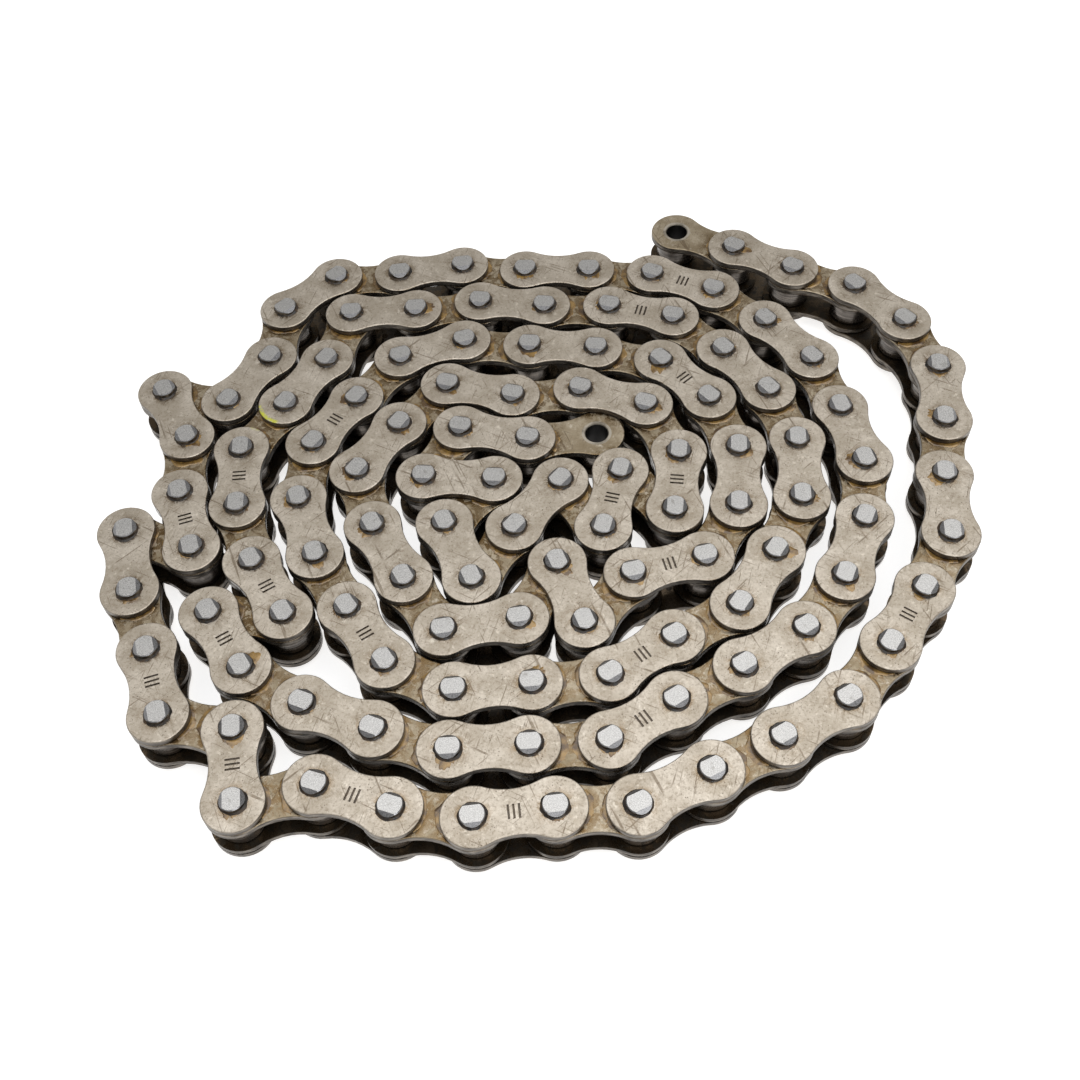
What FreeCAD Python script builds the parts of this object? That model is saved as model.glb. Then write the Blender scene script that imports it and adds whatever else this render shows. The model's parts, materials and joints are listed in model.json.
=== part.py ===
import FreeCAD, Part

import math
import os

import Sketcher
from FreeCAD import Placement, Rotation, Vector

# A 1/2 x 3/16 inch roller drive chain, lying on its side in a loose coil of nearly five turns.
# Inner links (two plates, two bushes, two rollers) and outer links (two plates, two riveted pins)
# take turns along the chain, and both free ends are inner links with an open bush.
# Millimetres. Every pin stands upright, +Z is up, and z = 0 is the surface the lower pin ends stand on.
# The origin is under the middle of the coil.

# The driving dimensions, each a cell of the spreadsheet with this name as its alias.
SIZES = {
    "pitch": 12.7,
    "inner_width": 4.88,  # between the two inner plates
    "plate_thick": 1.2,
    "plate_end_radius": 5.1,
    "plate_waist": 3.8,  # half the plate's height at its waist
    "plate_edge_round": 0.22,  # the rounded edge that shearing leaves on a plate's outer face
    "side_gap": 0.1,  # between an inner and an outer plate
    "roller_radius": 3.875,
    "roller_gap": 0.1,  # between a roller's end and an inner plate
    "roller_rim": 0.3,  # the rounding of its rims
    "bush_radius": 2.74,
    "bush_mouth": 0.15,  # the chamfer at each end of its bore
    "pin_radius": 2.05,
    "pin_proud": 1.05,  # how far a pin stands out of each outer plate
    "pin_rim": 0.14,  # the chamfer round each end
    "running_gap": 0.05,  # radial clearance of roller on bush, and of pin in bush
    "flat_start": 1.4,  # from a pin's axis to where its staked flats begin
    "flat_drop": 0.55,  # how far down a staked flat runs
    "stroke_length": 2.4,  # the three stamped strokes
    "stroke_width": 0.36,
    "stroke_spacing": 0.85,
    "stroke_depth": 0.15,
}

# How the chain lies. It is walked from the outer free end, one pitch at a time: the first link's heading in
# degrees from +X, then the turn at each pin, positive to the left. All the turns add up to nearly five times
# round, clockwise. Neighbouring strands clear each other by at least 0.18 mm.
FIRST_HEADING = -32
TURNS = [
    # The free strand: from the back right, down the right-hand side and along the front.
    0, 5, -25, -20, -25, -5, 5, -25, -5, -5, -20, -5,
    0, -25, 6, -15, -10,
    # Zigzags at the left, where the chain is folded on itself.
    31, -95, 70, -60, 5, -10, -120, 125, -15, 25, -130, 70,
    25, -40,
    # Second turn: along the back, down the right and along the front.
    -40, 5, -15, 5, -5, -15, -20, -10, -20, -5, -20, -15,
    -15, -20, -5, 5, -30, 0, -20, -5, -10, -25,
    # A fold at the left, inside the zigzags.
    -125, 124, -13, -15, -37, 1, 15, -70,
    # Third turn.
    5, -15, 5, -13, -29, -9, -18, -21, -24, -7, -29, 5,
    -27, -1, -30, -31, -3,
    # Fourth turn, down to the folds in its front right corner.
    -12, -25, -28, -3, -35, -25, 2, -11, -32, -21, -25, -27,
    -45, 35, -118, 129, -51,
    # Round the left of the middle and back.
    -64, -6, -12, -50, -9, -62, 20, -25, -45, -32,
    # The inner end, folded up in the middle.
    -127, 118, -129, 105, 5, -122, -66, 128, -115, -74, 21,
]

# The links of the outer strand that lie free of the coil and swing on their pins.
FREE_LINKS = 16
# Outer links whose upper plate is stamped, counted along the chain from 1.
STAMPED = [5, 8, 9, 10, 11, 13, 19, 24, 27, 28, 29, 33, 37, 39, 41, 44, 46, 53, 54]

UP = Vector(0, 0, 1)

doc = FreeCAD.newDocument("DriveChain")
sheet = doc.addObject("Spreadsheet::Sheet", "Sizes")
for row, (alias, value) in enumerate(SIZES.items(), start=1):
    sheet.set(f"A{row}", alias)
    sheet.set(f"B{row}", str(value))
    sheet.setAlias(f"B{row}", alias)
doc.recompute()


def new_sketch(body, name, plane="XY_Plane"):
    sketch = body.newObject("Sketcher::SketchObject", name)
    origin_plane = next(feature for feature in body.Origin.OriginFeatures if feature.Role == plane)
    sketch.AttachmentSupport = [(origin_plane, "")]
    sketch.MapMode = "FlatFace"
    return sketch


def constrain(sketch, *constraints):
    for kind, *targets in constraints:
        sketch.addConstraint(Sketcher.Constraint(kind, *targets))


def dimension(sketch, name, expression, *constraint):
    """Adds a dimension to a sketch and binds it to the spreadsheet."""
    index = sketch.addConstraint(Sketcher.Constraint(*constraint))
    sketch.renameConstraint(index, name)
    sketch.setExpression(f"Constraints.{name}", expression)


def circle(sketch, x, radius):
    return sketch.addGeometry(Part.Circle(Vector(x, 0, 0), UP, radius), False)


def polygon(sketch, corners):
    """Closed straight lines through the corners. Returns the index of the first line."""
    first = sketch.GeometryCount
    for start, stop in zip(corners, corners[1:] + corners[:1]):
        sketch.addGeometry(Part.LineSegment(Vector(*start, 0), Vector(*stop, 0)), False)
    count = len(corners)
    for line in range(count):
        constrain(sketch, ("Coincident", first + line, 2, first + (line + 1) % count, 1))
    return first


def pad(body, sketch, length):
    feature = body.newObject("PartDesign::Pad", sketch.Name + "_pad")
    feature.Profile = sketch
    feature.setExpression("Length", length)
    doc.recompute()
    return feature


def dress(body, kind, size_property, size_alias, radius):
    """Fillets or chamfers the body's circular edges of one radius, by a size from the spreadsheet."""
    base = body.Tip
    feature = body.newObject("PartDesign::" + kind, f"{body.Name}_{size_alias}")
    wanted = [
        f"Edge{number}"
        for number, edge in enumerate(base.Shape.Edges, start=1)
        if edge.Curve.TypeId == "Part::GeomCircle" and abs(edge.Curve.Radius - radius) < 1e-6
    ]
    feature.Base = (base, wanted)
    feature.setExpression(size_property, "Sizes." + size_alias)
    doc.recompute()


def plate(name, hole_alias, stamped=False):
    """A link plate, lying on z = 0 with its outer face up, from a hole at the origin to one a pitch along +X.
    Its outline is two end circles joined by two hollow waist arcs."""
    pitch, end, waist = SIZES["pitch"], SIZES["plate_end_radius"], SIZES["plate_waist"]
    hollow = ((pitch / 2) ** 2 + waist**2 - end**2) / (2 * (end - waist))
    meet = math.atan2(waist + hollow, pitch / 2)
    body = doc.addObject("PartDesign::Body", name)
    sketch = new_sketch(body, name + "_outline")
    arcs = (
        (0, 0, end, meet, 2 * math.pi - meet),
        (pitch / 2, -waist - hollow, hollow, meet, math.pi - meet),
        (pitch, 0, end, math.pi + meet, 3 * math.pi - meet),
        (pitch / 2, waist + hollow, hollow, math.pi + meet, 2 * math.pi - meet),
    )
    for x, y, radius, start, stop in arcs:
        sketch.addGeometry(Part.ArcOfCircle(Part.Circle(Vector(x, y, 0), UP, radius), start, stop), False)
    left, low, right, high = range(4)
    near = circle(sketch, 0, SIZES[hole_alias])
    far = circle(sketch, pitch, SIZES[hole_alias])
    constrain(
        sketch,
        ("Tangent", left, 2, low, 2),
        ("Tangent", low, 1, right, 1),
        ("Tangent", right, 2, high, 2),
        ("Tangent", high, 1, left, 1),
        ("Coincident", left, 3, -1, 1),
        ("PointOnObject", right, 3, -1),
        ("Equal", left, right),
        ("Equal", low, high),
        ("Coincident", near, 3, left, 3),
        ("Coincident", far, 3, right, 3),
        ("Equal", near, far),
    )
    dimension(sketch, "pitch", "Sizes.pitch", "DistanceX", left, 3, right, 3, pitch)
    dimension(sketch, "end_radius", "Sizes.plate_end_radius", "Radius", left, end)
    dimension(
        sketch,
        "hollow_radius",
        "((Sizes.pitch / 2) ^ 2 + Sizes.plate_waist ^ 2 - Sizes.plate_end_radius ^ 2)"
        " / (2 * (Sizes.plate_end_radius - Sizes.plate_waist))",
        "Radius",
        low,
        hollow,
    )
    dimension(sketch, "hole_radius", "Sizes." + hole_alias, "Radius", near, SIZES[hole_alias])
    blank = pad(body, sketch, "Sizes.plate_thick")
    outer_rim = [
        f"Edge{number}"
        for number, edge in enumerate(blank.Shape.Edges, start=1)
        if edge.BoundBox.ZMin > SIZES["plate_thick"] / 2 and edge.Curve.Radius > SIZES[hole_alias] + 1e-6
    ]
    sheared = body.newObject("PartDesign::Fillet", name + "_sheared_edge")
    sheared.Base = (blank, outer_rim)
    sheared.setExpression("Radius", "Sizes.plate_edge_round")
    doc.recompute()
    if stamped:
        stamp(body)
    return body


def stamp(body):
    """Three short parallel strokes, sunk into the middle of a plate's outer face."""
    long, wide = SIZES["stroke_length"], SIZES["stroke_width"]
    sketch = new_sketch(body, body.Name + "_strokes")
    sketch.setExpression("AttachmentOffset.Base.z", "Sizes.plate_thick")
    for name, count in (("left", -1), ("middle", 0), ("right", 1)):
        x = SIZES["pitch"] / 2 + count * SIZES["stroke_spacing"] - wide / 2
        corners = [(x, -long / 2), (x + wide, -long / 2), (x + wide, long / 2), (x, long / 2)]
        first = polygon(sketch, corners)
        constrain(
            sketch,
            ("Horizontal", first),
            ("Vertical", first + 1),
            ("Horizontal", first + 2),
            ("Symmetric", first, 1, first + 2, 2, -1),
        )
        place = f"Sizes.pitch / 2 + ({count}) * Sizes.stroke_spacing - Sizes.stroke_width / 2"
        dimension(sketch, name + "_place", place, "DistanceX", -1, 1, first, 1, x)
        dimension(sketch, name + "_width", "Sizes.stroke_width", "DistanceX", first, 1, first, 2, wide)
        tall = (first + 1, 1, first + 1, 2, long)
        dimension(sketch, name + "_length", "Sizes.stroke_length", "DistanceY", *tall)
    strokes = body.newObject("PartDesign::Pocket", body.Name + "_stamp")
    strokes.Profile = sketch
    strokes.setExpression("Length", "Sizes.stroke_depth")
    doc.recompute()


def tube(name, outer, bore, length):
    """A tube standing on z = 0. Its radii and length are expressions."""
    body = doc.addObject("PartDesign::Body", name)
    sketch = new_sketch(body, name + "_rings")
    for ring_name, expression, drawn in (("outer", outer, 2), ("bore", bore, 1)):
        ring = circle(sketch, 0, drawn)
        constrain(sketch, ("Coincident", ring, 3, -1, 1))
        dimension(sketch, ring_name, expression, "Radius", ring, drawn)
    pad(body, sketch, length)
    return body


def bush():
    body = tube(
        "bush",
        "Sizes.bush_radius",
        "Sizes.pin_radius + Sizes.running_gap",
        "Sizes.inner_width + 2 * Sizes.plate_thick",
    )
    dress(body, "Chamfer", "Size", "bush_mouth", SIZES["pin_radius"] + SIZES["running_gap"])
    return body


def roller():
    body = tube(
        "roller",
        "Sizes.roller_radius",
        "Sizes.bush_radius + Sizes.running_gap",
        "Sizes.inner_width - 2 * Sizes.roller_gap",
    )
    dress(body, "Fillet", "Radius", "roller_rim", SIZES["roller_radius"])
    return body


def pin():
    """A riveted pin standing on z = 0. Each end has a chamfered rim and two opposite staked flats, which run
    along the link and slope away from its middle line."""
    long = "(Sizes.inner_width + 4 * Sizes.plate_thick + 2 * Sizes.side_gap + 2 * Sizes.pin_proud)"
    start, drop = SIZES["flat_start"], SIZES["flat_drop"]
    reach = SIZES["pin_radius"] - start
    body = doc.addObject("PartDesign::Body", "pin")
    sketch = new_sketch(body, "pin_round")
    shank = circle(sketch, 0, SIZES["pin_radius"])
    constrain(sketch, ("Coincident", shank, 3, -1, 1))
    dimension(sketch, "pin_radius", "Sizes.pin_radius", "Radius", shank, SIZES["pin_radius"])
    pad(body, sketch, long)
    dress(body, "Chamfer", "Size", "pin_rim", SIZES["pin_radius"])

    # a triangle beside each end and side, twice as far out and as deep as the flat it cuts
    staking = new_sketch(body, "pin_staking", "YZ_Plane")
    corners = [(start, 0), (start + 2 * reach, 0), (start + 2 * reach, 2 * drop)]
    lower_right = polygon(staking, corners)
    lower_left = polygon(staking, [(-x, z) for x, z in corners])
    upper_right = polygon(staking, [(x, PIN_LENGTH - z) for x, z in corners])
    upper_left = polygon(staking, [(-x, PIN_LENGTH - z) for x, z in corners])
    for first in (lower_right, lower_left, upper_right, upper_left):
        constrain(staking, ("Horizontal", first), ("Vertical", first + 1))
    for left, right in ((lower_left, lower_right), (upper_left, upper_right)):
        constrain(staking, ("Symmetric", left, 1, right, 1, -2), ("Symmetric", left + 1, 2, right + 1, 2, -2))
    constrain(
        staking,
        ("PointOnObject", lower_right, 1, -1),
        ("Equal", lower_right, upper_right),
        ("Equal", lower_right + 1, upper_right + 1),
        ("Vertical", lower_right, 1, upper_right, 1),
    )
    twice_reach = "2 * (Sizes.pin_radius - Sizes.flat_start)"
    dimension(staking, "start", "Sizes.flat_start", "DistanceX", -1, 1, lower_right, 1, start)
    dimension(staking, "reach", twice_reach, "DistanceX", lower_right, 1, lower_right, 2, 2 * reach)
    dimension(
        staking, "drop", "2 * Sizes.flat_drop", "DistanceY", lower_right + 1, 1, lower_right + 1, 2, 2 * drop
    )
    dimension(staking, "top", long, "DistanceY", -1, 1, upper_right, 1, PIN_LENGTH)
    flats = body.newObject("PartDesign::Pocket", "pin_flats")
    flats.Profile = staking
    flats.Type = "ThroughAll"
    flats.Midplane = True
    doc.recompute()
    return body


# Heights of the pieces above the surface, all from the chain's middle plane.
PLATES = SIZES["inner_width"] + 4 * SIZES["plate_thick"] + 2 * SIZES["side_gap"]
PIN_LENGTH = PLATES + 2 * SIZES["pin_proud"]
MIDDLE = PIN_LENGTH / 2
INNER_FACE = SIZES["inner_width"] / 2
OUTER_FACE = INNER_FACE + SIZES["plate_thick"] + SIZES["side_gap"]

outer_plate = plate("outer_plate", "pin_radius")
stamped_plate = plate("stamped_plate", "pin_radius", stamped=True)
inner_plate = plate("inner_plate", "bush_radius")
bush_master = bush()
roller_master = roller()
pin_master = pin()


def walk():
    """The pins' places and the links' headings, with the middle of the whole coil at the origin."""
    x, y, heading = 0, 0, FIRST_HEADING
    places, headings = [(x, y)], []
    for turn in TURNS + [0]:
        x += SIZES["pitch"] * math.cos(math.radians(heading))
        y += SIZES["pitch"] * math.sin(math.radians(heading))
        places.append((x, y))
        headings.append(heading)
        heading += turn
    middle_x, middle_y = ((min(along) + max(along)) / 2 for along in zip(*places))
    return [(x - middle_x, y - middle_y) for x, y in places], headings


PINS, HEADINGS = walk()
LINKS = len(HEADINGS)


def stand(point, link, height):
    """A piece that stands upright at a pin, turned with its link."""
    return Placement(Vector(*PINS[point], height), Rotation(UP, HEADINGS[link]))


def upper(link, face):
    return stand(link, link, MIDDLE + face)


def lower(link, face):
    """A plate under the middle plane, its outer face down."""
    turned = Rotation(UP, HEADINGS[link]) * Rotation(Vector(1, 0, 0), 180)
    return Placement(Vector(*PINS[link], MIDDLE - face), turned)


def both_ends(links, height):
    return [stand(point, link, height) for link in links for point in (link, link + 1)]


def bushes(links):
    return both_ends(links, MIDDLE - INNER_FACE - SIZES["plate_thick"])


def rollers(links):
    return both_ends(links, MIDDLE - INNER_FACE + SIZES["roller_gap"])


def upper_outer_plates(links):
    """The plain plates and the stamped ones, each with the placements of its copies."""
    marked = [link for link in links if (link + 1) / 2 in STAMPED]
    plain = [link for link in links if link not in marked]
    pairs = ((outer_plate, plain), (stamped_plate, marked))
    return [(master, [upper(link, OUTER_FACE) for link in chosen]) for master, chosen in pairs if chosen]


def node(label, *copied):
    """A sub-part made of copies: each pair is a piece and the placements of its copies."""
    arrays = []
    for master, placements in copied:
        array = doc.addObject("App::Link", f"{label}_{master.Name}")
        array.LinkedObject = master
        array.ShowElement = False
        array.ElementCount = len(placements)
        array.PlacementList = placements
        arrays.append(array)
    compound = doc.addObject("Part::Compound", label)
    compound.Label = label
    compound.Links = arrays
    return compound


def inner_link(label, link):
    """An inner link that moves: its pair of plates, its pair of bushes and each of its two rollers."""
    plates = [upper(link, INNER_FACE), lower(link, INNER_FACE)]
    roller_a, roller_b = rollers([link])
    return [
        node(label + "_inner_plates", (inner_plate, plates)),
        node(label + "_bushes", (bush_master, bushes([link]))),
        node(label + "_roller_a", (roller_master, [roller_a])),
        node(label + "_roller_b", (roller_master, [roller_b])),
    ]


def outer_link(label, link):
    plates = upper_outer_plates([link]) + [(outer_plate, [lower(link, OUTER_FACE)])]
    return [
        node(label + "_outer_plates", *plates),
        node(label + "_pins", (pin_master, both_ends([link], 0))),
    ]


def coil(inner, outer):
    """The links that lie in the coil, gathered by kind of piece."""
    return [
        node("coil_upper_inner_plates", (inner_plate, [upper(link, INNER_FACE) for link in inner])),
        node("coil_lower_inner_plates", (inner_plate, [lower(link, INNER_FACE) for link in inner])),
        node("coil_upper_outer_plates", *upper_outer_plates(outer)),
        node("coil_lower_outer_plates", (outer_plate, [lower(link, OUTER_FACE) for link in outer])),
        node("coil_bushes", (bush_master, bushes(inner))),
        node("coil_rollers", (roller_master, rollers(inner))),
        node("coil_pins", (pin_master, both_ends(outer, 0))),
    ]


subparts = []
for link in range(FREE_LINKS):
    kind = outer_link if link % 2 else inner_link
    subparts += kind(f"link_{link + 1:02d}", link)
last = LINKS - 1
subparts += coil(range(FREE_LINKS, last, 2), range(FREE_LINKS + 1, last, 2))
subparts += inner_link("end_link", last)
doc.recompute()

failed = [item.Name for item in doc.Objects if {"Invalid", "Error"} & set(item.State)]
assert not failed, failed
for subpart in subparts:
    assert not subpart.Shape.isNull() and subpart.Shape.isValid(), subpart.Label

os.makedirs("parts", exist_ok=True)
for subpart in subparts:
    subpart.Shape.exportStep(f"parts/{subpart.Label}.step")
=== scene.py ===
import json
import math

import bmesh
import bpy
import numpy as np
from mathutils import Matrix, Vector
from mathutils.bvhtree import BVHTree


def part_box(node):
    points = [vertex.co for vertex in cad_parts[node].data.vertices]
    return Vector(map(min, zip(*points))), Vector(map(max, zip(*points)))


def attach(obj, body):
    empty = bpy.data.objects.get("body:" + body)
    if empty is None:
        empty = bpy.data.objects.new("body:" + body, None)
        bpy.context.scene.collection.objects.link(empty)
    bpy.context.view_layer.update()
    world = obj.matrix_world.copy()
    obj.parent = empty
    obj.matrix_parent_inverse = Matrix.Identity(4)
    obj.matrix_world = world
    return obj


# The looks of a roller drive chain that lies on its side in a loose coil. Metres, in the CAD's own frame.
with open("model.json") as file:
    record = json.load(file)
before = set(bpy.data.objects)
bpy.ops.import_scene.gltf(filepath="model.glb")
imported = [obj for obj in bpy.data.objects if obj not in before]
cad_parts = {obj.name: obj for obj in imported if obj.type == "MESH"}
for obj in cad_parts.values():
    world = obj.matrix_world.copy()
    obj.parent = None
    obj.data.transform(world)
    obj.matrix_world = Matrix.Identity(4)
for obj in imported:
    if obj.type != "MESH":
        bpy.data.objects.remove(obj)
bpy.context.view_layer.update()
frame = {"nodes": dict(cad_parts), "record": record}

MM = 0.001
PITCH = 12.7 * MM
PIN_RADIUS = 2.05 * MM
BUSH_RADIUS = 2.74 * MM
PLATE_END_RADIUS = 5.1 * MM
PLATE_WAIST = 3.8 * MM
PLATE_THICK = 1.2 * MM
OUTER_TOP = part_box("coil_upper_outer_plates")[1].z
OUTER_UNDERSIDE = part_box("coil_lower_outer_plates")[0].z
INNER_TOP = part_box("coil_upper_inner_plates")[1].z
INNER_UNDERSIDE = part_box("coil_lower_inner_plates")[0].z
PIN_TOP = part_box("coil_pins")[1].z
STROKE_DEPTH = 0.15 * MM
FLOOR_GLOW = 0.75
PAINTED_PIN = Vector((-48 * MM, 22 * MM))  # near enough to find the pin by
GRIME_WIDTH = 0.3 * MM
GRIME_HEIGHT = 0.2 * MM
OIL_WIDTH = 1.2 * MM  # the most that oil spreads on an inner plate
SMEARED = 0.6  # the share of pins with oil smeared beside them
CAMERA_PLACE = (0, -145.9 * MM, 203.1 * MM)
CAMERA_TURN, CAMERA_DOWN, CAMERA_ROLL = (math.radians(angle) for angle in (0.26, 55.3, -3.66))
SEED = 7


# ---------------------------------------------------------------- shader helpers


def new_material(name):
    material = bpy.data.materials.new(name)
    material.use_nodes = True
    nodes = material.node_tree.nodes
    return material, nodes, material.node_tree.links, nodes["Principled BSDF"]


class Shader:
    """Builds one material's node tree. Each method adds a node and returns its output."""

    def __init__(self, name):
        self.material, self.nodes, self.links, self.bsdf = new_material(name)
        self.place = self.nodes.new("ShaderNodeTexCoord").outputs["Object"]

    def feed(self, socket, value):
        if isinstance(value, bpy.types.NodeSocket):
            self.links.new(value, socket)
        else:
            socket.default_value = value

    def fixed(self, **values):
        """Values that are the same all over the surface, on the shader's own sockets."""
        for name, value in values.items():
            self.bsdf.inputs[name.replace("_", " ")].default_value = value

    def stretched(self, scale, turn=0.0):
        """The surface's own coordinates, stretched along one direction in the plane and turned about Z."""
        turned = self.nodes.new("ShaderNodeMapping")
        turned.inputs["Rotation"].default_value = (0, 0, turn)
        self.links.new(self.place, turned.inputs["Vector"])
        mapped = self.nodes.new("ShaderNodeMapping")
        mapped.inputs["Scale"].default_value = scale
        self.links.new(turned.outputs["Vector"], mapped.inputs["Vector"])
        return mapped.outputs["Vector"]

    def noise(self, scale, detail=3.0, roughness=0.55, vector=None, distortion=0.0):
        node = self.nodes.new("ShaderNodeTexNoise")
        self.feed(node.inputs["Vector"], self.place if vector is None else vector)
        node.inputs["Scale"].default_value = scale
        node.inputs["Detail"].default_value = detail
        node.inputs["Roughness"].default_value = roughness
        node.inputs["Distortion"].default_value = distortion
        return node.outputs["Fac"]

    def spots(self, scale):
        node = self.nodes.new("ShaderNodeTexVoronoi")
        self.feed(node.inputs["Vector"], self.place)
        node.inputs["Scale"].default_value = scale
        return node.outputs["Distance"]

    def between(self, value, low, high, to_low=0.0, to_high=1.0):
        """Maps low..high smoothly to to_low..to_high, and holds the ends."""
        node = self.nodes.new("ShaderNodeMapRange")
        node.interpolation_type = "SMOOTHSTEP"
        self.feed(node.inputs["Value"], value)
        for name, number in (("From Min", low), ("From Max", high), ("To Min", to_low), ("To Max", to_high)):
            node.inputs[name].default_value = number
        return node.outputs["Result"]

    def math(self, operation, first, second=0.0):
        node = self.nodes.new("ShaderNodeMath")
        node.operation = operation
        self.feed(node.inputs[0], first)
        self.feed(node.inputs[1], second)
        return node.outputs["Value"]

    def mix(self, amount, first, second):
        node = self.nodes.new("ShaderNodeMix")
        node.data_type = "RGBA"
        self.feed(node.inputs["Factor"], amount)
        self.feed(node.inputs["A"], first)
        self.feed(node.inputs["B"], second)
        return node.outputs["Result"]

    def facing_up(self):
        """How far the surface faces straight up or down: 1 on a plate's flat faces, 0 on its sheared sides."""
        geometry = self.nodes.new("ShaderNodeNewGeometry")
        split = self.nodes.new("ShaderNodeSeparateXYZ")
        self.links.new(geometry.outputs["True Normal"], split.inputs["Vector"])
        return self.math("ABSOLUTE", split.outputs["Z"])

    def inward(self, half_width):
        """1 on faces nearer the chain's middle plane than half_width, which look in at the rollers."""
        split = self.nodes.new("ShaderNodeSeparateXYZ")
        self.links.new(self.place, split.inputs["Vector"])
        away = self.math("ABSOLUTE", self.math("SUBTRACT", split.outputs["Z"], PIN_TOP / 2))
        return self.between(away, half_width, half_width + 0.2 * MM, 1, 0)

    def at_level(self, low, high):
        """1 on faces whose height lies between the two levels."""
        split = self.nodes.new("ShaderNodeSeparateXYZ")
        self.links.new(self.place, split.inputs["Vector"])
        above = self.between(split.outputs["Z"], low - 0.01 * MM, low + 0.01 * MM)
        below = self.between(split.outputs["Z"], high - 0.01 * MM, high + 0.01 * MM, 1, 0)
        return self.math("MULTIPLY", above, below)

    def each_piece(self):
        return self.nodes.new("ShaderNodeNewGeometry").outputs["Random Per Island"]

    def crevice(self, distance):
        """1 in the open and towards 0 in corners and close beside a wall."""
        node = self.nodes.new("ShaderNodeAmbientOcclusion")
        node.samples = 8
        node.inputs["Distance"].default_value = distance
        return node.outputs["AO"]

    def bump(self, height, strength, distance):
        node = self.nodes.new("ShaderNodeBump")
        node.inputs["Strength"].default_value = strength
        node.inputs["Distance"].default_value = distance
        self.links.new(height, node.inputs["Height"])
        self.links.new(node.outputs["Normal"], self.bsdf.inputs["Normal"])

    def finish(self, color, roughness):
        self.feed(self.bsdf.inputs["Base Color"], color)
        self.feed(self.bsdf.inputs["Roughness"], roughness)
        return self.material


def srgb(red, green, blue):
    """A colour given as it looks on screen, 0 to 255, in the linear values that shaders take."""
    linear = [((c / 255 + 0.055) / 1.055) ** 2.4 if c > 10 else c / 3295 for c in (red, green, blue)]
    return (*linear, 1.0)


# ---------------------------------------------------------------- materials


def plate_steel(name, light, dark, side, oil, oil_reach, oil_strength, top, inner_face, painted_pin=None):
    """Satin nickel-coloured plate: cloudy tone, fine crossing scratches, small dark pits, painted shade in the
    corners and on the floors of the stamp strokes, and an oily tint beside whatever stands on it. Its sheared
    sides, and the faces that look in at the rollers, are painted darker as shade."""
    shader = Shader(name)
    shader.fixed(Metallic=0.8)
    cloud = shader.noise(230, detail=4, roughness=0.6)
    face = shader.mix(shader.between(cloud, 0.32, 0.72), dark, light)
    tone = shader.between(shader.each_piece(), 0, 1, 0.0, 0.22)
    face = shader.mix(tone, face, dark)

    grain = shader.noise(2600, detail=5, roughness=0.75)
    face = shader.mix(shader.between(grain, 0.47, 0.68, 0, 0.5), face, srgb(120, 104, 84))
    clean = shader.noise(900, detail=4, roughness=0.7)
    face = shader.mix(shader.between(clean, 0.56, 0.72, 0, 0.5), face, srgb(236, 228, 214))

    scratches = None
    for turn, stretch in ((0.5, 110), (-0.7, 80), (1.9, 150), (1.2, 60)):
        line = shader.noise(1, detail=2, vector=shader.stretched((stretch, stretch * 26, stretch), turn))
        line = shader.between(line, 0.63, 0.7)
        scratches = line if scratches is None else shader.math("MAXIMUM", scratches, line)
    patches = shader.between(shader.noise(240, detail=2), 0.42, 0.56)
    scratches = shader.math("MULTIPLY", scratches, patches)
    face = shader.mix(shader.math("MULTIPLY", scratches, 0.62), face, srgb(98, 82, 62))

    pits = shader.between(shader.spots(1900), 0.08, 0.26, 1, 0)
    pits = shader.math("MULTIPLY", pits, shader.between(shader.noise(380, detail=3), 0.48, 0.6))
    face = shader.mix(shader.math("MULTIPLY", pits, 0.8), face, srgb(66, 54, 40))

    near_oil = shader.between(shader.crevice(oil_reach), 0.78, 0.97, 1, 0)
    ragged = shader.between(shader.noise(620, detail=5, roughness=0.7, distortion=0.6), 0.44, 0.54)
    oily = shader.math("MULTIPLY", near_oil, ragged)
    face = shader.mix(shader.math("MULTIPLY", oily, oil_strength), face, oil)
    # Painted shade: the plate goes dark brown in corners and close beside a wall.
    corner_shade = shader.between(shader.crevice(0.5 * MM), 0.35, 0.9, 1, 0)
    face = shader.mix(shader.math("MULTIPLY", corner_shade, 0.88), face, srgb(38, 30, 22))
    if painted_pin:
        face = paint_trace(shader, face, painted_pin)

    flat = shader.between(shader.facing_up(), 0.25, 0.8)
    # Painted shade: the sheared sides take the darker side colour, streaked lighter with shear marks.
    streaks = shader.noise(1, detail=3, vector=shader.stretched((500, 500, 2500)))
    sheared = shader.mix(shader.between(streaks, 0.35, 0.7), side, srgb(128, 120, 110))
    # Painted shade on the floors of the stamp strokes.
    stroke_shade = shader.math("MULTIPLY", shader.at_level(top - 1.2 * STROKE_DEPTH, top - 0.7 * STROKE_DEPTH), flat)
    face = shader.mix(shader.math("MULTIPLY", stroke_shade, 0.85), face, srgb(70, 62, 54))
    color = shader.mix(flat, sheared, face)
    # Painted shade: the faces that look in at the rollers go dark brown, uneven with the ragged noise.
    hidden_shade = shader.mix(ragged, srgb(30, 25, 20), srgb(74, 62, 48))
    color = shader.mix(shader.math("MULTIPLY", shader.inward(inner_face), 0.9), color, hidden_shade)

    roughness = shader.between(grain, 0.3, 0.75, 0.34, 0.5)
    roughness = shader.math("SUBTRACT", roughness, shader.math("MULTIPLY", oily, 0.22))
    cuts = shader.math("MAXIMUM", scratches, pits)
    height = shader.math("SUBTRACT", shader.math("MULTIPLY", grain, 0.5), cuts)
    shader.bump(height, 0.35, 0.02 * MM)
    return shader.finish(color, roughness)


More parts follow.
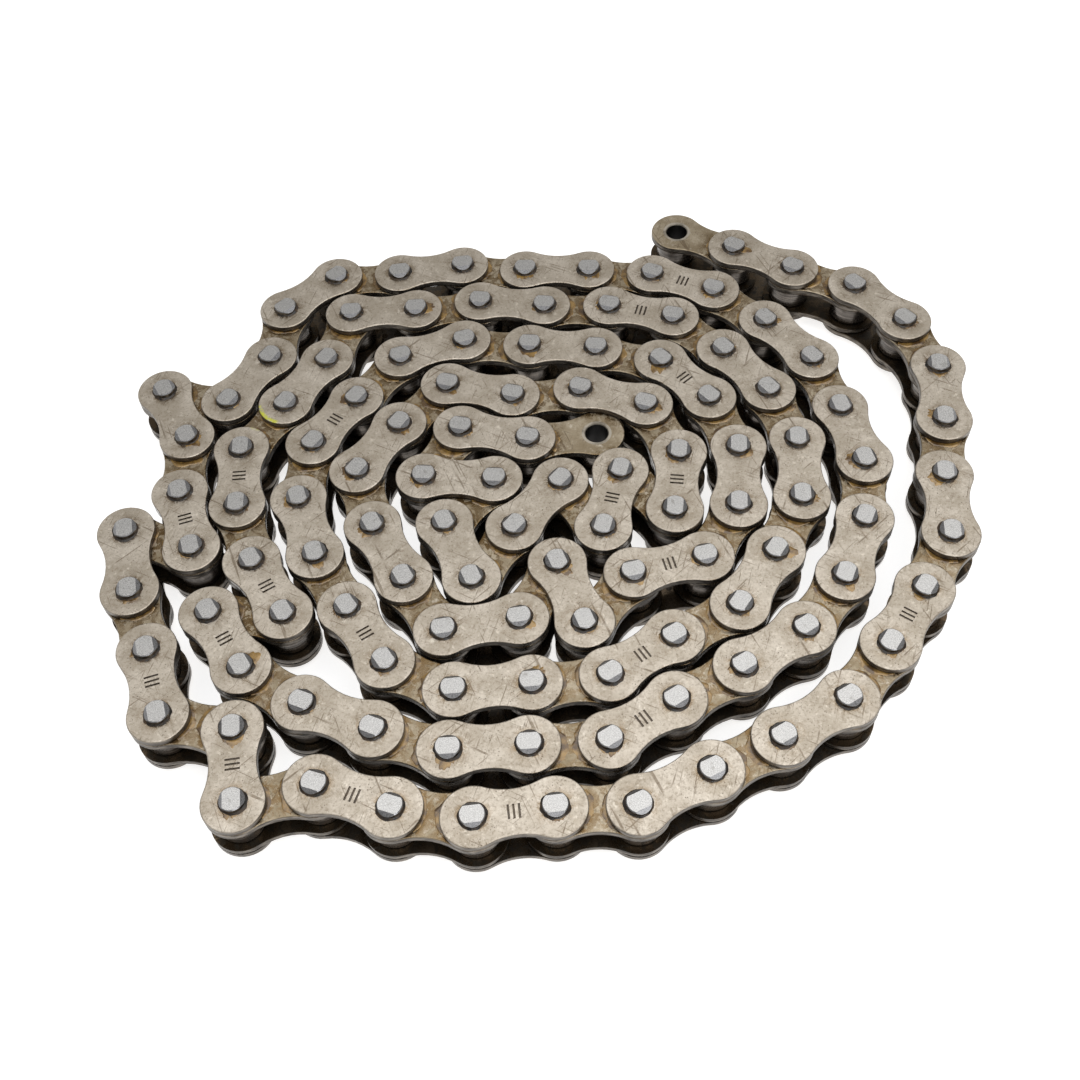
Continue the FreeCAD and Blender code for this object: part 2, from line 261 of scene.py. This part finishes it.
def paint_trace(shader, face, pin):
    """A broken line of yellow-green marking paint along the rim of one plate's end, towards the front left."""

    def away_from(x, y):
        apart = shader.nodes.new("ShaderNodeVectorMath")
        apart.operation = "DISTANCE"
        shader.links.new(shader.place, apart.inputs[0])
        apart.inputs[1].default_value = (x, y, OUTER_TOP)
        return apart.outputs["Value"]

    rim = shader.between(away_from(pin.x, pin.y), PLATE_END_RADIUS - 0.9 * MM, PLATE_END_RADIUS - 0.5 * MM)
    middle = pin + Vector((-0.79, -0.61)) * PLATE_END_RADIUS
    stretch = shader.between(away_from(middle.x, middle.y), 2.6 * MM, 3.6 * MM, 1, 0)
    broken = shader.between(shader.noise(700, detail=4, roughness=0.7), 0.42, 0.55)
    amount = shader.math("MULTIPLY", shader.math("MULTIPLY", rim, stretch), broken)
    return shader.mix(shader.math("MULTIPLY", amount, 0.9), face, srgb(214, 216, 70))


def pin_steel():
    """Bright ground faces with a fine frosted grain. The staked flats are greyer, and the sides are painted
    dark brown as shade.
    """
    shader = Shader("pin_steel")
    shader.fixed(Metallic=0.9)
    frost = shader.noise(7000, detail=3, roughness=0.7)
    face = shader.mix(shader.between(frost, 0.35, 0.7), srgb(158, 157, 156), srgb(216, 215, 213))
    wear = shader.noise(900, detail=3)
    face = shader.mix(shader.between(wear, 0.6, 0.75, 0, 0.5), face, srgb(130, 126, 120))
    staked = shader.mix(shader.between(frost, 0.4, 0.7), srgb(120, 120, 122), srgb(170, 170, 172))
    # Painted shade: the pin's sides are given a dark brown colour.
    side = shader.mix(shader.between(wear, 0.4, 0.6), srgb(64, 58, 52), srgb(118, 112, 104))
    up = shader.facing_up()
    color = shader.mix(shader.between(up, 0.93, 0.985), staked, face)
    color = shader.mix(shader.between(up, 0.1, 0.5), side, color)
    shader.bump(frost, 0.25, 0.02 * MM)
    return shader.finish(color, shader.between(frost, 0.3, 0.7, 0.26, 0.42))


def dark_steel(name, light, dark, roughness):
    """Smooth hardened steel under a thin brown oil film, with faint rings round it from rolling, and painted
    shade, near black, where the plates close round it.
    """
    shader = Shader(name)
    shader.fixed(Metallic=0.85, Coat_Weight=0.4, Coat_Roughness=0.18)
    rings = shader.noise(1, detail=3, vector=shader.stretched((90, 90, 2600)))
    film = shader.noise(330, detail=4, roughness=0.6)
    color = shader.mix(shader.between(rings, 0.35, 0.7), dark, light)
    color = shader.mix(shader.between(film, 0.48, 0.7, 0, 0.7), color, srgb(40, 30, 20))
    # Painted shade: near black where other parts close round the roller.
    color = shader.mix(shader.between(shader.crevice(3 * MM), 0.1, 0.6, 0.9, 0), color, srgb(14, 11, 9))
    shader.bump(rings, 0.2, 0.02 * MM)
    return shader.finish(color, shader.between(film, 0.3, 0.7, roughness, roughness + 0.2))


def bush_steel():
    """Grey end faces, and near-black walls."""
    shader = Shader("bush_steel")
    shader.fixed(Metallic=0.6)
    film = shader.noise(330, detail=4, roughness=0.6)
    ends = shader.mix(shader.between(film, 0.4, 0.65), srgb(176, 168, 154), srgb(120, 112, 100))
    color = shader.mix(shader.between(shader.facing_up(), 0.5, 0.9), srgb(16, 13, 11), ends)
    return shader.finish(color, shader.between(film, 0.3, 0.7, 0.35, 0.55))


def grime():
    """Black-brown grease pressed out round a pin, wet in places."""
    shader = Shader("grime")
    shader.fixed(Metallic=0.0)
    lumps = shader.noise(1500, detail=4, roughness=0.6)
    color = shader.mix(shader.between(lumps, 0.4, 0.7), srgb(20, 15, 11), srgb(66, 48, 28))
    shader.bump(lumps, 0.6, 0.05 * MM)
    return shader.finish(color, shader.between(lumps, 0.3, 0.7, 0.22, 0.5))


def oil():
    """Golden-brown oil, dark where it is thick and paler at its thin edge."""
    shader = Shader("oil")
    shader.fixed(Metallic=0.25, Coat_Weight=0.8, Coat_Roughness=0.08)
    pooled = shader.noise(520, detail=4, roughness=0.6, distortion=0.4)
    color = shader.mix(shader.between(pooled, 0.35, 0.66), srgb(80, 56, 24), srgb(156, 124, 68))
    fine = shader.noise(2300, detail=3)
    color = shader.mix(shader.between(fine, 0.58, 0.74, 0, 0.6), color, srgb(44, 30, 14))
    shader.bump(pooled, 0.3, 0.05 * MM)
    return shader.finish(color, shader.between(fine, 0.3, 0.7, 0.12, 0.3))


def floor_white():
    shader = Shader("floor_white")
    shader.fixed(Metallic=0.0)
    shader.fixed(Emission_Color=(1.0, 1.0, 1.0, 1.0), Emission_Strength=FLOOR_GLOW)
    return shader.finish(srgb(200, 200, 200), 0.7)


def dress_cad_nodes():
    """Gives each CAD node the material of its kind of piece, by the last words of its name."""
    outer = plate_steel(
        "outer_plate_steel",
        light=srgb(206, 197, 184),
        dark=srgb(174, 164, 149),
        # side: painted shade, darker than the faces
        side=srgb(74, 68, 62),
        oil=srgb(112, 90, 58),
        oil_reach=2.6 * MM,
        oil_strength=0.75,
        top=OUTER_TOP,
        painted_pin=min(upright_axes("coil_pins", PIN_RADIUS), key=lambda pin: (pin - PAINTED_PIN).length),
        inner_face=OUTER_TOP - PIN_TOP / 2 - PLATE_THICK + 0.1 * MM,
    )
    inner = plate_steel(
        "inner_plate_steel",
        light=srgb(182, 170, 149),
        dark=srgb(142, 128, 104),
        # side: painted shade, darker than the faces
        side=srgb(56, 50, 44),
        oil=srgb(104, 80, 44),
        oil_reach=3.2 * MM,
        oil_strength=0.9,
        top=INNER_TOP,
        inner_face=INNER_TOP - PIN_TOP / 2 - PLATE_THICK + 0.1 * MM,
    )
    roller = dark_steel("roller_steel", srgb(128, 120, 112), srgb(62, 56, 51), 0.2)
    kinds = {
        "outer_plates": outer,
        "inner_plates": inner,
        "pins": pin_steel(),
        "rollers": roller,
        "roller_a": roller,
        "roller_b": roller,
        "bushes": bush_steel(),
    }
    for name, node in frame["nodes"].items():
        kind = next(kind for kind in kinds if name.endswith(kind))
        node.data.materials.clear()
        node.data.materials.append(kinds[kind])


# ---------------------------------------------------------------- where the pins and links are


def upright_axes(node, radius):
    """The (x, y) of each upright round piece in a node. The pieces are more than two radii apart."""
    coordinates = np.array([vertex.co[:2] for vertex in frame["nodes"][node].data.vertices])
    axes = []
    while len(coordinates):
        near = np.linalg.norm(coordinates - coordinates[0], axis=1) < 2.02 * radius
        piece = coordinates[near]
        axes.append(Vector((piece.min(axis=0) + piece.max(axis=0)) / 2))
        coordinates = coordinates[~near]
    return axes


def joined_pairs(axes, plates):
    """The pairs of axes one pitch apart with a plate between them, found by looking down at the plates."""
    tree = BVHTree.FromObject(frame["nodes"][plates], bpy.context.evaluated_depsgraph_get())
    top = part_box(plates)[1].z

    def covered(point):
        hit = tree.ray_cast(Vector((*point, top + MM)), Vector((0, 0, -1)), 2 * MM)
        return hit[0] is not None

    pairs = []
    for count, first in enumerate(axes):
        for second in axes[count + 1 :]:
            along = second - first
            if abs(along.length - PITCH) > 0.02 * MM:
                continue
            across = Vector((-along.y, along.x)) / along.length * 0.8 * PLATE_WAIST
            middle = (first + second) / 2
            if all(covered(middle + across * side) for side in (-1, 0, 1)):
                pairs.append((first, second))
    return pairs


# ---------------------------------------------------------------- grease and oil


class Film:
    """A mesh of thin rings and crescents, all of them on one body."""

    def __init__(self):
        self.mesh = bmesh.new()

    def strip(self, rows, closed):
        """Quads between rows of points. Each row has the same number of points."""
        grid = [[self.mesh.verts.new(point) for point in row] for row in rows]
        count = len(grid)
        for here in range(count if closed else count - 1):
            one, other = grid[here], grid[(here + 1) % count]
            for step in range(len(one) - 1):
                self.mesh.faces.new((one[step], other[step], other[step + 1], one[step + 1]))

    def placed(self, name, material, body):
        bmesh.ops.recalc_face_normals(self.mesh, faces=self.mesh.faces)
        data = bpy.data.meshes.new(name)
        self.mesh.to_mesh(data)
        self.mesh.free()
        for face in data.polygons:
            face.use_smooth = True
        data.materials.append(material)
        piece = bpy.data.objects.new(name, data)
        bpy.context.scene.collection.objects.link(piece)
        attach(piece, body)


def wave(chance, count, strength):
    """A smooth closed random curve about 1, as a function of the angle."""
    terms = [
        (order, chance.uniform(0, 2 * math.pi), chance.uniform(0.3, 1) / order**0.7)
        for order in range(1, count)
    ]
    scale = strength / sum(size for _, _, size in terms)
    return lambda angle: 1 + scale * sum(size * math.sin(order * angle + phase) for order, phase, size in terms)


def grime_ring(film, axis, height, up, chance):
    """Grease pressed out in an uneven ring round a pin's foot, from the pin's side down to the plate."""
    reach = wave(chance, 14, 1.1)
    bulk = wave(chance, 9, 0.7)
    rows = []
    steps = 72
    for step in range(steps):
        angle = 2 * math.pi * step / steps
        out = Vector((math.cos(angle), math.sin(angle)))
        width = GRIME_WIDTH * max(0.15, reach(angle))
        tall = GRIME_HEIGHT * max(0.3, bulk(angle))
        row = []
        for share, level in ((-0.12, 1.0), (0.12, 0.92), (0.4, 0.5), (0.75, 0.18), (1.0, 0.04), (1.02, -0.1)):
            point = axis + out * (PIN_RADIUS + width * share)
            row.append((point.x, point.y, height + up * tall * level))
        rows.append(row)
    film.strip(rows, closed=True)


def oil_smear(film, axis, height, up, chance):
    """A thin ragged smear of oil beside one side of a pin's foot, mostly the side towards the front."""
    middle = math.radians(chance.normal(-90, 55))
    spread = math.radians(chance.uniform(22, 60))
    widest = chance.uniform(0.35, 1.3) * MM
    edge = wave(chance, 16, 1.6)
    rows = []
    steps = 40
    for step in range(steps + 1):
        share = 2 * step / steps - 1
        angle = middle + spread * share
        out = Vector((math.cos(angle), math.sin(angle)))
        width = 0.1 * MM + widest * (1 - share**2) * max(0.1, edge(2 * angle))
        row = []
        for inward, level in ((-0.1, 0.04), (0.3, 0.035), (0.8, 0.02), (1.0, -0.02)):
            point = axis + out * (PIN_RADIUS + width * inward)
            row.append((point.x, point.y, height + up * level * MM))
        rows.append(row)
    film.strip(rows, closed=False)


def oil_crescent(film, axis, towards, height, up, chance):
    """Oil on an inner plate along the end of the outer plate that lies on it, thickest in the middle."""
    middle = math.atan2(towards.y - axis.y, towards.x - axis.x)
    spread = math.radians(chance.uniform(34, 42))
    widest = chance.uniform(0.45, 1.15) * MM
    edge = wave(chance, 8, 0.8)
    lean = chance.uniform(-0.3, 0.3)
    rows = []
    steps = 22
    for step in range(steps + 1):
        share = 2 * step / steps - 1
        angle = middle + spread * share
        out = Vector((math.cos(angle), math.sin(angle)))
        swell = max(0.0, 1 - (share - lean) ** 2 / (1 + abs(lean)) ** 2)
        width = 0.06 * MM + widest * swell * max(0.2, edge(3 * angle))
        width = min(width, OIL_WIDTH)
        row = []
        for inward, level in ((-0.25, 0.055), (0.0, 0.055), (0.45, 0.045), (0.85, 0.025), (1.0, -0.02)):
            reach = PLATE_END_RADIUS + (width * inward if inward > 0 else 0.3 * MM * inward)
            point = axis + out * reach
            row.append((point.x, point.y, height + up * level * MM))
        rows.append(row)
    film.strip(rows, closed=False)


def grease_the_chain():
    """Rings of grime on the outer links and oil on the inner ones, each riding on its link's body."""
    chance = np.random.default_rng(SEED)
    grime_material, oil_material = grime(), oil()
    for body, members in frame["record"]["behaviour"]["bodies"].items():
        pins = [name for name in members if name.endswith("pins")]
        bushes = [name for name in members if name.endswith("bushes")]
        for node in pins:
            film = Film()
            for axis in upright_axes(node, PIN_RADIUS):
                grime_ring(film, axis, OUTER_TOP, 1, chance)
                grime_ring(film, axis, OUTER_UNDERSIDE, -1, chance)
            film.placed(node + "_grime", grime_material, body)
            film = Film()
            for axis in upright_axes(node, PIN_RADIUS):
                for height, up in ((OUTER_TOP, 1), (OUTER_UNDERSIDE, -1)):
                    if chance.random() < SMEARED:
                        oil_smear(film, axis, height, up, chance)
            film.placed(node + "_smears", oil_material, body)
        for node in bushes:
            plates = node.replace("bushes", "inner_plates")
            if node == "coil_bushes":
                plates = "coil_upper_inner_plates"
            film = Film()
            for pair in joined_pairs(upright_axes(node, BUSH_RADIUS), plates):
                for axis, towards in (pair, pair[::-1]):
                    if any((axis - end).length < MM for end in OPEN_ENDS):
                        continue
                    oil_crescent(film, axis, towards, INNER_TOP, 1, chance)
                    oil_crescent(film, axis, towards, INNER_UNDERSIDE, -1, chance)
            film.placed(node + "_oil", oil_material, body)


# The two bushes that no pin runs in: each has a bore mount of its own.
OPEN_ENDS = [Vector(mount["pos_m"][:2]) for mount in frame["record"]["mounts"] if mount["kind"] == "bore"]


# ---------------------------------------------------------------- camera, floor and light


def set_camera():
    """Looks down at the coil from the front, a little turned and tilted to one side."""
    turn, down, roll = CAMERA_TURN, CAMERA_DOWN, CAMERA_ROLL
    forward = Vector((-math.sin(turn) * math.cos(down), math.cos(turn) * math.cos(down), -math.sin(down)))
    level = Vector((math.cos(turn), math.sin(turn), 0))
    upward = level.cross(forward)
    right = level * math.cos(roll) + upward * math.sin(roll)
    above = upward * math.cos(roll) - level * math.sin(roll)
    camera = bpy.data.objects.new("camera", bpy.data.cameras.new("camera"))
    camera.data.sensor_width = 36
    camera.data.lens = 45.2
    camera.data.shift_x = -0.006
    camera.data.clip_start = 0.01
    camera.matrix_world = Matrix.Translation(CAMERA_PLACE) @ Matrix(
        (right, above, -forward)
    ).transposed().to_4x4()
    bpy.context.scene.collection.objects.link(camera)
    bpy.context.scene.camera = camera


def lay_floor():
    bpy.ops.mesh.primitive_plane_add(size=6, location=(0, 0, 0))
    floor = bpy.context.object
    floor.name = "floor"
    floor.data.materials.append(floor_white())


def area_light(name, place, size, power):
    light = bpy.data.lights.new(name, "AREA")
    light.shape = "RECTANGLE"
    light.size, light.size_y = size
    light.energy = power
    lamp = bpy.data.objects.new(name, light)
    lamp.location = place
    lamp.rotation_euler = (-Vector(place)).to_track_quat("-Z", "Y").to_euler()
    bpy.context.scene.collection.objects.link(lamp)


def light_the_scene():
    world = bpy.data.worlds.new("studio")
    world.use_nodes = True
    world.node_tree.nodes["Background"].inputs["Color"].default_value = (1.0, 0.985, 0.96, 1.0)
    world.node_tree.nodes["Background"].inputs["Strength"].default_value = 0.45
    bpy.context.scene.world = world
    area_light("overhead", (0.07, 0.02, 0.8), (0.9, 0.95), 4.2)
    area_light("front_fill", (0.3, -0.75, 0.3), (0.6, 0.3), 2.4)
    bpy.context.scene.view_settings.view_transform = "Standard"


dress_cad_nodes()
grease_the_chain()
set_camera()
lay_floor()
light_the_scene()
